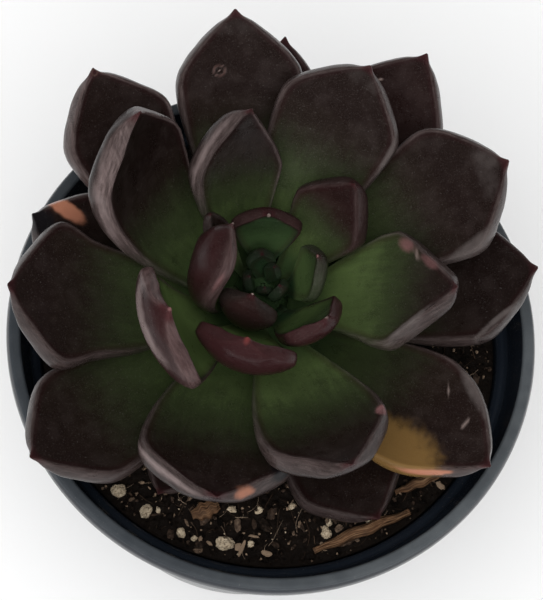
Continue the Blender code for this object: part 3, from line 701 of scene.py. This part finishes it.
def add_leaf(name, leaf, looks, material, seed, root, replaces=()):
    stations, across_faces = 84 * looks.fine, 30 * looks.fine
    points, along, across, inset, v, on_belly = leaf_grid(leaf, stations, across_faces)
    normals = grid_normals(points)
    flat = points.reshape(-1, 3)
    share = along / leaf.length
    calm = smoothstep(0.0, 0.1, share) * smoothstep(1.0, 0.93, share)
    swell = field_noise(flat, 6.5 * MM, seed).reshape(share.shape) * 0.16 * MM
    ripple = field_noise(flat, 1.7 * MM, seed + 3.1).reshape(share.shape) * 0.035 * MM
    colour, cover, raised = paint_marks(looks.marks, share, v, points, seed)
    size = min(1.0, leaf.width / 20)
    points = points + normals * ((swell + ripple) * calm * size + raised)[..., None]
    points[0, :, 0] -= ROOT_REACH
    turned = Matrix.Rotation(math.radians(leaf.azimuth), 3, "Z")
    placed = points.reshape(-1, 3) @ np.array(turned).T + np.array(root)
    full, none = looks.green
    green = 1 - (share - full) / (none - full)
    green = np.where(green > 1, 1 + (green - 1) * 0.5, green)
    edge = np.maximum(on_belly, smoothstep(0.9, -0.2, inset) * smoothstep(0.12, 0.35, share))
    green = np.clip(green - looks.belly * edge, 0, 1.5)
    # Painted shade towards the root, where the leaves meet in the rosette's hollow, added to each leaf's own
    # deep value
    deep = np.clip(looks.deep + 0.75 * smoothstep(0.3, 0.1, share), 0, 1)
    attributes = {
        "along": along.ravel(), "across": across.ravel(), "inset": inset.ravel(), "green": green.ravel(),
        # How pale the margin is, partly waxy bloom and partly painted highlight, fading towards the root
        "bloom_and_highlight": (looks.bloom_and_highlight * (0.3 + 0.7 * smoothstep(0.25, 0.7, share))).ravel(), "deep": deep.ravel(),
        # Painted shade over the whole leaf
        "shade": np.full(green.size, looks.shade),
        "red": np.clip(looks.red + 0.3 * on_belly + 0.8 * smoothstep(0.955, 0.985, share), 0, 1).ravel(),
        "mark": colour.reshape(-1, 3), "cover": cover.ravel(),
    }
    add_piece(name, placed, loft_faces(*share.shape), material, attributes, replaces=replaces)


def leaf_root(leaf):
    z = POT_HEIGHT + leaf.height * MM
    radius = stem_radius(z - leaf.thick / 2 * MM) + CLEARANCE
    azimuth = math.radians(leaf.azimuth)
    return Vector((PLANT_X + radius * math.cos(azimuth), PLANT_Y + radius * math.sin(azimuth), z))


def turned_surface(profile, segments):
    """Points and faces of an open profile of (radius, z), turned about +Z. The profile runs so that
    the solid lies on its left."""
    points, faces, first = [], [], []
    for radius, z in profile:
        first.append(len(points))
        turns = 1 if radius == 0 else segments
        for j in range(turns):
            angle = 2 * math.pi * j / segments
            points.append((radius * math.cos(angle), radius * math.sin(angle), z))
    for i in range(len(profile) - 1):
        for j in range(segments):
            k = (j + 1) % segments
            low = [first[i]] if profile[i][0] == 0 else [first[i] + j, first[i] + k]
            high = [first[i + 1]] if profile[i + 1][0] == 0 else [first[i + 1] + k, first[i + 1] + j]
            faces.append(tuple(low + high))
    return points, faces


def pot_inner_radius(z):
    share = (z - WALL) / (POT_HEIGHT - LEDGE_DROP - WALL)
    return BASE_RADIUS - WALL + (LEDGE_INNER_RADIUS - BASE_RADIUS + WALL) * share


def rounded(corners, radius, steps=4):
    """The profile with each inner corner rounded by up to `radius`."""
    corners = [Vector(c) for c in corners]
    out = [corners[0]]
    for before, corner, after in zip(corners, corners[1:], corners[2:]):
        a, b = before - corner, after - corner
        reach = min(radius, a.length * 0.45, b.length * 0.45)
        start, end = corner + a.normalized() * reach, corner + b.normalized() * reach
        for i in range(steps + 1):
            t = i / steps
            out.append(start * (1 - t) ** 2 + corner * 2 * t * (1 - t) + end * t * t)
    out.append(corners[-1])
    return [tuple(p) for p in out]


def pot_profile():
    """The pot's profile as in the solid, with its corners rounded."""
    top = POT_HEIGHT
    shoulder = top - RIM_DEPTH
    ledge = top - LEDGE_DROP
    shoulder_radius = pot_inner_radius(shoulder) + WALL
    lip = 0.7 * MM
    corners = [
        (0, 0),
        (BASE_RADIUS - BASE_ROUNDING, 0),
        (BASE_RADIUS - 0.3 * BASE_ROUNDING, 0.3 * BASE_ROUNDING),
        (BASE_RADIUS + 0.1 * BASE_ROUNDING, BASE_ROUNDING),
        (shoulder_radius, shoulder),
        (RIM_FOOT_RADIUS - lip, shoulder),
        (RIM_FOOT_RADIUS, shoulder + lip),
        (RIM_WIDEST_RADIUS - 0.3 * lip, top - RIM_WIDEST_DROP - 1.6 * MM),
        (RIM_WIDEST_RADIUS, top - RIM_WIDEST_DROP),
        (RIM_WIDEST_RADIUS - 0.2 * lip, top - 1.4 * MM),
        (RIM_TOP_RADIUS + 0.4 * lip, top - 0.4 * lip),
        (RIM_TOP_RADIUS - 0.3 * lip, top),
        (MOUTH_RADIUS + 0.6 * lip, top),
        (MOUTH_RADIUS, top - 0.6 * lip),
        (LEDGE_OUTER_RADIUS, ledge + lip),
        (LEDGE_OUTER_RADIUS - lip, ledge),
        (LEDGE_INNER_RADIUS + lip, ledge),
        (pot_inner_radius(ledge - lip), ledge - lip),
        (pot_inner_radius(2 * WALL), 2 * WALL),
        (BASE_RADIUS - 2 * WALL, WALL),
        (0, WALL),
    ]
    return rounded(corners, CORNER_ROUNDING)


def add_pot(material):
    """The pot, turned from its profile, with its drain holes cut out."""
    points, faces = turned_surface(pot_profile(), POT_SEGMENTS)
    mesh = bpy.data.meshes.new("pot_form")
    mesh.from_pydata(points, [], faces)
    form = bpy.data.objects.new("pot_form", mesh)
    bpy.context.scene.collection.objects.link(form)
    cutters = []
    for i in range(DRAIN_HOLES):
        angle = 2 * math.pi * (i + DRAIN_TURN) / DRAIN_HOLES
        bpy.ops.mesh.primitive_cylinder_add(
            vertices=48, radius=DRAIN_HOLE_RADIUS, depth=8 * MM,
            location=(DRAIN_CIRCLE_RADIUS * math.cos(angle), DRAIN_CIRCLE_RADIUS * math.sin(angle), 0))
        cutters.append(bpy.context.object)
        modifier = form.modifiers.new("drain", "BOOLEAN")
        modifier.operation = "DIFFERENCE"
        modifier.object = cutters[-1]
    bpy.context.view_layer.update()
    done = bpy.data.meshes.new_from_object(form.evaluated_get(bpy.context.evaluated_depsgraph_get()))
    for obj in [form, *cutters]:
        bpy.data.objects.remove(obj, do_unlink=True)
    done.name = "pot_turned"
    done.materials.clear()
    done.materials.append(material)
    done.shade_smooth()
    done.set_sharp_from_angle(angle=math.radians(50))
    place_mesh(done, ["pot"])


def soil_height(x, y):
    """The solid's soil top."""
    away = np.hypot(x - PLANT_X, y - PLANT_Y)
    mound = SOIL_MOUND * np.exp(-((away / SOIL_MOUND_RADIUS) ** 2))
    waves = np.sin(x / (5.3 * MM) + 0.7) * np.cos(y / (4.9 * MM)) + 0.6 * np.sin((x + y) / (4.4 * MM))
    return SOIL_TOP + mound + SOIL_RELIEF * waves


def add_soil(material):
    """The soil bed, with a lumpy, crumbly top."""
    top_radius = pot_inner_radius(SOIL_TOP) - CLEARANCE
    radii = np.linspace(top_radius, 0.6 * MM, SOIL_RINGS)
    angle = np.linspace(0, 2 * math.pi, SOIL_SEGMENTS, endpoint=False)
    x, y = np.outer(radii, np.cos(angle)), np.outer(radii, np.sin(angle))
    z = soil_height(x, y)
    flat = np.stack([x, y, 0 * x], axis=-1).reshape(-1, 3)
    lumps = (0.34 * field_noise(flat, 3.1 * MM) + 0.3 * field_noise(flat, 1.3 * MM, 5.0)
             + 0.16 * field_noise(flat, 0.6 * MM, 9.0)) * MM
    z += lumps.reshape(z.shape) * smoothstep(0, 1.5 * MM, top_radius - radii)[:, None]
    foot = [
        (BASE_RADIUS - 2 * WALL - CLEARANCE, WALL + CLEARANCE),
        (pot_inner_radius(2 * WALL) - CLEARANCE, 2 * WALL),
        (top_radius - 0.1 * MM, SOIL_TOP - SOIL_MOUND),
    ]
    points, faces = [(0, 0, WALL + CLEARANCE)], []
    for radius, height in foot:
        points += [(radius * math.cos(a), radius * math.sin(a), height) for a in angle]
    points += list(np.stack([x, y, z], axis=-1).reshape(-1, 3))
    last = len(points)
    points.append((0, 0, float(soil_height(0, 0))))
    size = SOIL_SEGMENTS
    for j in range(size):
        k = (j + 1) % size
        faces.append((0, 1 + k, 1 + j))
        for i in range(len(foot) + SOIL_RINGS - 1):
            a, b = 1 + i * size, 1 + (i + 1) * size
            faces.append((a + j, a + k, b + k, b + j))
        faces.append((last - size + j, last - size + k, last))
    tone = np.concatenate([np.zeros(1 + size * len(foot)), 0.15 + 0.2 * lumps / MM, [0.2]])
    add_piece("soil_bed", points, faces, material, {"tone": tone}, replaces=["soil"])


def lump(fineness):
    """A unit ball's points and faces."""
    ball = bmesh.new()
    bmesh.ops.create_icosphere(ball, subdivisions=fineness, radius=1.0)
    points = np.array([v.co[:] for v in ball.verts])
    faces = [tuple(v.index for v in f.verts) for f in ball.faces]
    ball.free()
    return points, faces


class Heap:
    """Many small closed bodies, gathered into one piece."""

    def __init__(self):
        self.points, self.faces, self.values = [], [], {}
        self.count = 0

    def put(self, points, faces, **values):
        self.points.append(points)
        self.faces += [tuple(i + self.count for i in f) for f in faces]
        self.count += len(points)
        for key, value in values.items():
            self.values.setdefault(key, []).append(np.broadcast_to(value, len(points)))

    def finish(self, name, material, smooth=True):
        attributes = {key: np.concatenate(v) for key, v in self.values.items()}
        add_piece(name, np.vstack(self.points), self.faces, material, attributes, smooth)


def random_turn(rng, tilt=180):
    turn = Matrix.Rotation(math.radians(rng.uniform(0, 360)), 3, "Z")
    lean = Matrix.Rotation(math.radians(rng.uniform(-tilt, tilt)), 3, "X")
    return np.array(turn @ lean @ Matrix.Rotation(math.radians(rng.uniform(0, 360)), 3, "Z"))


def ring_place(rng, inner, outer):
    """A place on the soil, evenly spread between two radii."""
    radius = math.sqrt(rng.uniform(inner**2, outer**2))
    angle = rng.uniform(0, 2 * math.pi)
    return radius * math.cos(angle), radius * math.sin(angle)


def add_crumbs(material):
    """Loose crumbs of peat and flakes of bark on the soil."""
    rng = random.Random(11)
    heap = Heap()
    small, big = lump(1), lump(2)
    for i in range(CRUMBS):
        flake = i < FLAKES
        size = (rng.uniform(0.5, 1.8) if flake else 0.16 + 0.55 * rng.random() ** 2.2) * MM
        x, y = ring_place(rng, 14 * MM, CRUMB_REACH - 0.5 * size)
        depth = (0.12, 0.35) if flake else (0.4, 0.9)
        shape = np.array([rng.uniform(0.6, 1.2), rng.uniform(0.2, 0.7), rng.uniform(*depth)])
        base, faces = big if flake else small
        rough = np.array([rng.uniform(0.72, 1.18) for _ in base])
        points = base * rough[:, None] * shape * size
        points = points @ random_turn(rng, 22 if flake else 180).T
        low = points[:, 2].min()
        z = float(soil_height(x, y)) + 0.1 * MM - low * rng.uniform(0.35, 0.95)
        tone = rng.choice((0.0, 0.0, 0.1, 0.2, 0.35, 0.55, 0.75)) + rng.uniform(-0.08, 0.12)
        heap.put(points + (x, y, z), faces, tone=tone)
    heap.finish("soil_crumbs", material, smooth=False)


def add_fine_grit(material):
    """White specks of perlite dust among the crumbs."""
    rng = random.Random(5)
    heap = Heap()
    base, faces = lump(1)
    for _ in range(SPECKS):
        size = rng.uniform(0.08, 0.26) * MM
        x, y = ring_place(rng, 20 * MM, LITTER_REACH)
        points = base * np.array([rng.uniform(0.6, 1.2) for _ in base])[:, None] * size
        heap.put(points + (x, y, float(soil_height(x, y)) + 0.35 * MM), faces)
    heap.finish("perlite_dust", material, smooth=False)


def tube(path, radii, sides=6):
    """A thin closed tube along the path."""
    path = np.array(path)
    ahead = np.gradient(path, axis=0)
    ahead /= np.linalg.norm(ahead, axis=1, keepdims=True)
    side = np.cross(ahead, (0.03, 0.02, 1.0))
    side /= np.linalg.norm(side, axis=1, keepdims=True)
    up = np.cross(side, ahead)
    turns = 2 * math.pi * np.arange(sides) / sides
    rings = [path + radii[:, None] * (side * math.cos(t) + up * math.sin(t)) for t in turns]
    points = np.stack(rings, axis=1).reshape(-1, 3)
    return points, loft_faces(len(path), sides)


def add_fibres(material):
    """Rootlets and straws that lie on the soil in loose, slight curves."""
    rng = random.Random(23)
    heap = Heap()
    for _ in range(ROOTLETS):
        x, y = ring_place(rng, 18 * MM, 45 * MM)
        heading, curl = rng.uniform(0, 2 * math.pi), rng.uniform(-0.14, 0.14)
        step = (1.2 + 7.0 * rng.random() ** 1.6) * MM / ROOTLET_STEPS
        path, arch = [], rng.uniform(0.1, 0.5) * MM
        for i in range(ROOTLET_STEPS):
            if math.hypot(x, y) > LITTER_REACH:
                break
            lift = 0.32 * MM + arch * math.sin(math.pi * i / (ROOTLET_STEPS - 1))
            path.append((x, y, float(soil_height(x, y)) + lift))
            heading += curl + rng.uniform(-0.12, 0.12)
            x += step * math.cos(heading)
            y += step * math.sin(heading)
        if len(path) < 4:
            continue
        thick = (0.03 + 0.09 * rng.random() ** 2) * MM
        points, faces = tube(path, thick * np.linspace(1, 0.5, len(path)))
        heap.put(points, faces, tone=rng.random() ** 1.8)
    heap.finish("rootlets", material)


def add_grains(material):
    """The grains of perlite, rough and pitted, each partly sunk in the soil."""
    heap = Heap()
    base, faces = lump(5)
    for i, (x, y, size) in enumerate(GRAINS):
        x, y, size = x * MM, y * MM, size * MM
        big = field_noise(base, 0.9, 3.0 * i)
        fine = field_noise(base, 0.28, 5.0 * i + 2)
        pits = np.minimum(field_noise(base, 0.16, 7.0 * i), 0)
        points = base * (GRAIN_RADIUS * size * (1 + 0.4 * big + 0.14 * fine + 0.14 * pits))[:, None]
        points *= (1.08, 0.84, 0.8)
        points = points @ np.array(Matrix.Rotation(i, 3, "Z")).T
        z = float(soil_height(x, y)) + 0.12 * size
        heap.put(points + (x, y, z), faces)
    heap.finish("perlite_grains", material)


def add_bark_chip(chip, start, end, width, thick, material, seed):
    """A splinter of bark with ragged fibres, over the soil along the solid's line."""
    start, end = np.array(start) * MM, np.array(end) * MM
    reach = np.linalg.norm(end - start)
    along = (end - start) / reach
    across = np.array([-along[1], along[0]])
    stations, sides = 90, 28
    points, along_mm, across_mm = [], [], []
    corners = np.array([(-1, 0.2), (-0.5, 0), (0.6, 0), (1, 0.4), (0.4, 1), (-0.6, 1), (-1, 0.2)])
    for i in range(stations):
        share = i / (stations - 1)
        bound = min(max(share, 0.08), 0.92)
        half = width / 2 * MM * (0.35 + 0.65 * math.sin(math.pi * bound))
        taper = min(1, 6 * min(share, 1 - share) + 0.25)
        deep = thick * MM * (0.6 + 0.4 * math.sin(math.pi * share)) * taper
        middle = start + (end - start) * share + across * 0.15 * half * math.sin(20 * share)
        ground = max(float(soil_height(*(middle + across * shift))) for shift in (-half, 0, half))
        ground += 0.5 * MM
        for j in range(sides):
            place = j / sides * 6
            k = int(place)
            shift, up = corners[k] * (1 - place + k) + corners[k + 1] * (place - k)
            ragged = 1 + 0.16 * noise.noise((share * reach / (4 * MM), j * 1.7, seed))
            ridge = 0.1 * MM * noise.noise((share * reach / (7 * MM), j * 2.9, seed + 9))
            point = middle + across * half * shift * ragged
            points.append((*point, ground + deep * up * ragged + ridge))
            along_mm.append(share * reach / MM)
            across_mm.append(j / sides * 3 * width)
    attributes = {"along": along_mm, "across": across_mm, "tone": np.full(len(points), float(seed))}
    faces = loft_faces(stations, sides)
    add_piece(chip + "_fibre", points, faces, material, attributes, replaces=[chip])


def add_stem(material):
    """The stem, slightly uneven, up to its round tip."""
    foot = SOIL_TOP - STEM_BURIED
    heights = [*np.linspace(foot, STEM_TAPER_START, 40), *np.linspace(STEM_TAPER_START, STEM_TOP, 24)[1:]]
    profile = [(0, foot), *((float(stem_radius(z)), float(z)) for z in heights), (0, STEM_TOP + 0.8 * MM)]
    points, faces = turned_surface(profile, 72)
    points = np.array(points) + (PLANT_X, PLANT_Y, 0)
    away = points[:, :2] - (PLANT_X, PLANT_Y)
    points[:, :2] += away * (0.03 * field_noise(points, 1.6 * MM))[:, None]
    high = smoothstep(SOIL_TOP, STEM_TOP, points[:, 2])
    attributes = {
        "along": points[:, 2] / MM, "across": away[:, 0] / MM, "inset": np.full(len(points), 3.0),
        # The stem takes the dark bluish green as painted shade of the rosette's heart
        "green": 0.5 + high, "deep": np.full(len(points), 0.9),
    }
    add_piece("stem_core", points, faces, material, attributes, replaces=["stem"])


def add_bud(material):
    """The bud's last leaves, each turned by the golden angle and a little smaller than the one before."""
    first = BUD_FIRST
    for i in range(BUD_LEAVES):
        size = BUD_SHRINK**i
        leaf = replace(
            first, azimuth=first.azimuth - GOLDEN_ANGLE * i, height=first.height + 0.4 * i,
            rise=first.rise + 2 * i, tip_rise=first.tip_rise - 2 * i, length=first.length * size,
            width=first.width * size, thick=first.thick * size,
        )
        root = leaf_root(leaf)
        root.x = PLANT_X + BUD_CLOSENESS * (root.x - PLANT_X)
        root.y = PLANT_Y + BUD_CLOSENESS * (root.y - PLANT_Y)
        add_leaf(f"bud_leaf_{i + 1}", leaf, BUD_LOOKS, material, 50.0 + i, root)


def set_camera():
    rise, turn = math.radians(CAMERA_RISE), math.radians(CAMERA_TURN)
    target = Vector((0, 0, POT_HEIGHT))
    back = Vector((math.sin(turn) * math.cos(rise), -math.cos(turn) * math.cos(rise), math.sin(rise)))
    right = (-back).cross(Vector((0, 1, 0))).normalized()
    up = right.cross(-back)
    pose = Matrix((right, up, back)).transposed().to_4x4()
    pose.translation = target + back * CAMERA_DISTANCE
    data = bpy.data.cameras.new("camera")
    data.sensor_fit = "AUTO"
    data.sensor_width = CAMERA_SENSOR
    data.lens = PIXELS_PER_METRE * CAMERA_DISTANCE * CAMERA_SENSOR / FRAME_HEIGHT
    data.shift_x = (FRAME_WIDTH / 2 - TARGET_PIXEL[0]) / FRAME_HEIGHT
    data.shift_y = (TARGET_PIXEL[1] - FRAME_HEIGHT / 2) / FRAME_HEIGHT
    data.clip_start, data.clip_end = 0.01, 50
    camera = bpy.data.objects.new("camera", data)
    camera.matrix_world = pose
    bpy.context.scene.collection.objects.link(camera)
    bpy.context.scene.camera = camera


def set_light():
    """A bright horizon all round with a dim sky over it, and a wide soft lamp, high and in front."""
    world = bpy.data.worlds.new("studio")
    bpy.context.scene.world = world
    world.use_nodes = True
    nodes, links = world.node_tree.nodes, world.node_tree.links
    place = nodes.new("ShaderNodeTexCoord")
    split = nodes.new("ShaderNodeSeparateXYZ")
    ramp = nodes.new("ShaderNodeValToRGB")
    set_stops(ramp, [(high, (grey, grey, grey)) for high, grey in SKY])
    links.new(place.outputs["Generated"], split.inputs[0])
    links.new(split.outputs["Z"], ramp.inputs[0])
    links.new(ramp.outputs[0], nodes["Background"].inputs[0])
    nodes["Background"].inputs[1].default_value = SKY_STRENGTH
    lamp = bpy.data.lights.new("soft_key", "SUN")
    lamp.energy = LAMP_STRENGTH
    lamp.angle = math.radians(LAMP_SPREAD)
    key = bpy.data.objects.new("soft_key", lamp)
    key.rotation_euler = [math.radians(tilt) for tilt in LAMP_TILT]
    key.visible_glossy = False
    bpy.context.scene.collection.objects.link(key)
    bpy.context.scene.view_settings.view_transform = "Standard"


def add_floor():
    points, faces = turned_surface([(0, 0), (FLOOR_RADIUS / 4, 0), (FLOOR_RADIUS, 0)], 96)
    mesh = bpy.data.meshes.new("floor")
    mesh.from_pydata([(x, y, z - FLOOR_DROP) for x, y, z in points], [], faces)
    mesh.materials.append(floor_material())
    floor = bpy.data.objects.new("floor", mesh)
    bpy.context.scene.collection.objects.link(floor)


set_camera()
set_light()
add_floor()
skin, peat, fibre = leaf_material(), soil_material(), fibre_material()
perlite, bark = grain_material(), bark_material()
add_pot(pot_material())
add_soil(peat)
add_crumbs(peat)
add_fine_grit(perlite)
add_grains(perlite)
add_fibres(fibre)
add_stem(skin)
add_bud(skin)
for seed, (chip, (start, end, width, thick)) in enumerate(BARK_CHIPS.items(), start=1):
    add_bark_chip(chip, start, end, width, thick, bark, seed)
for number, row in enumerate(LEAVES, start=1):
    add_leaf(f"leaf_blade_{number:02d}", row, LOOKS[number], skin, 2.7 * number, leaf_root(row),
             [f"leaf_{number:02d}"])
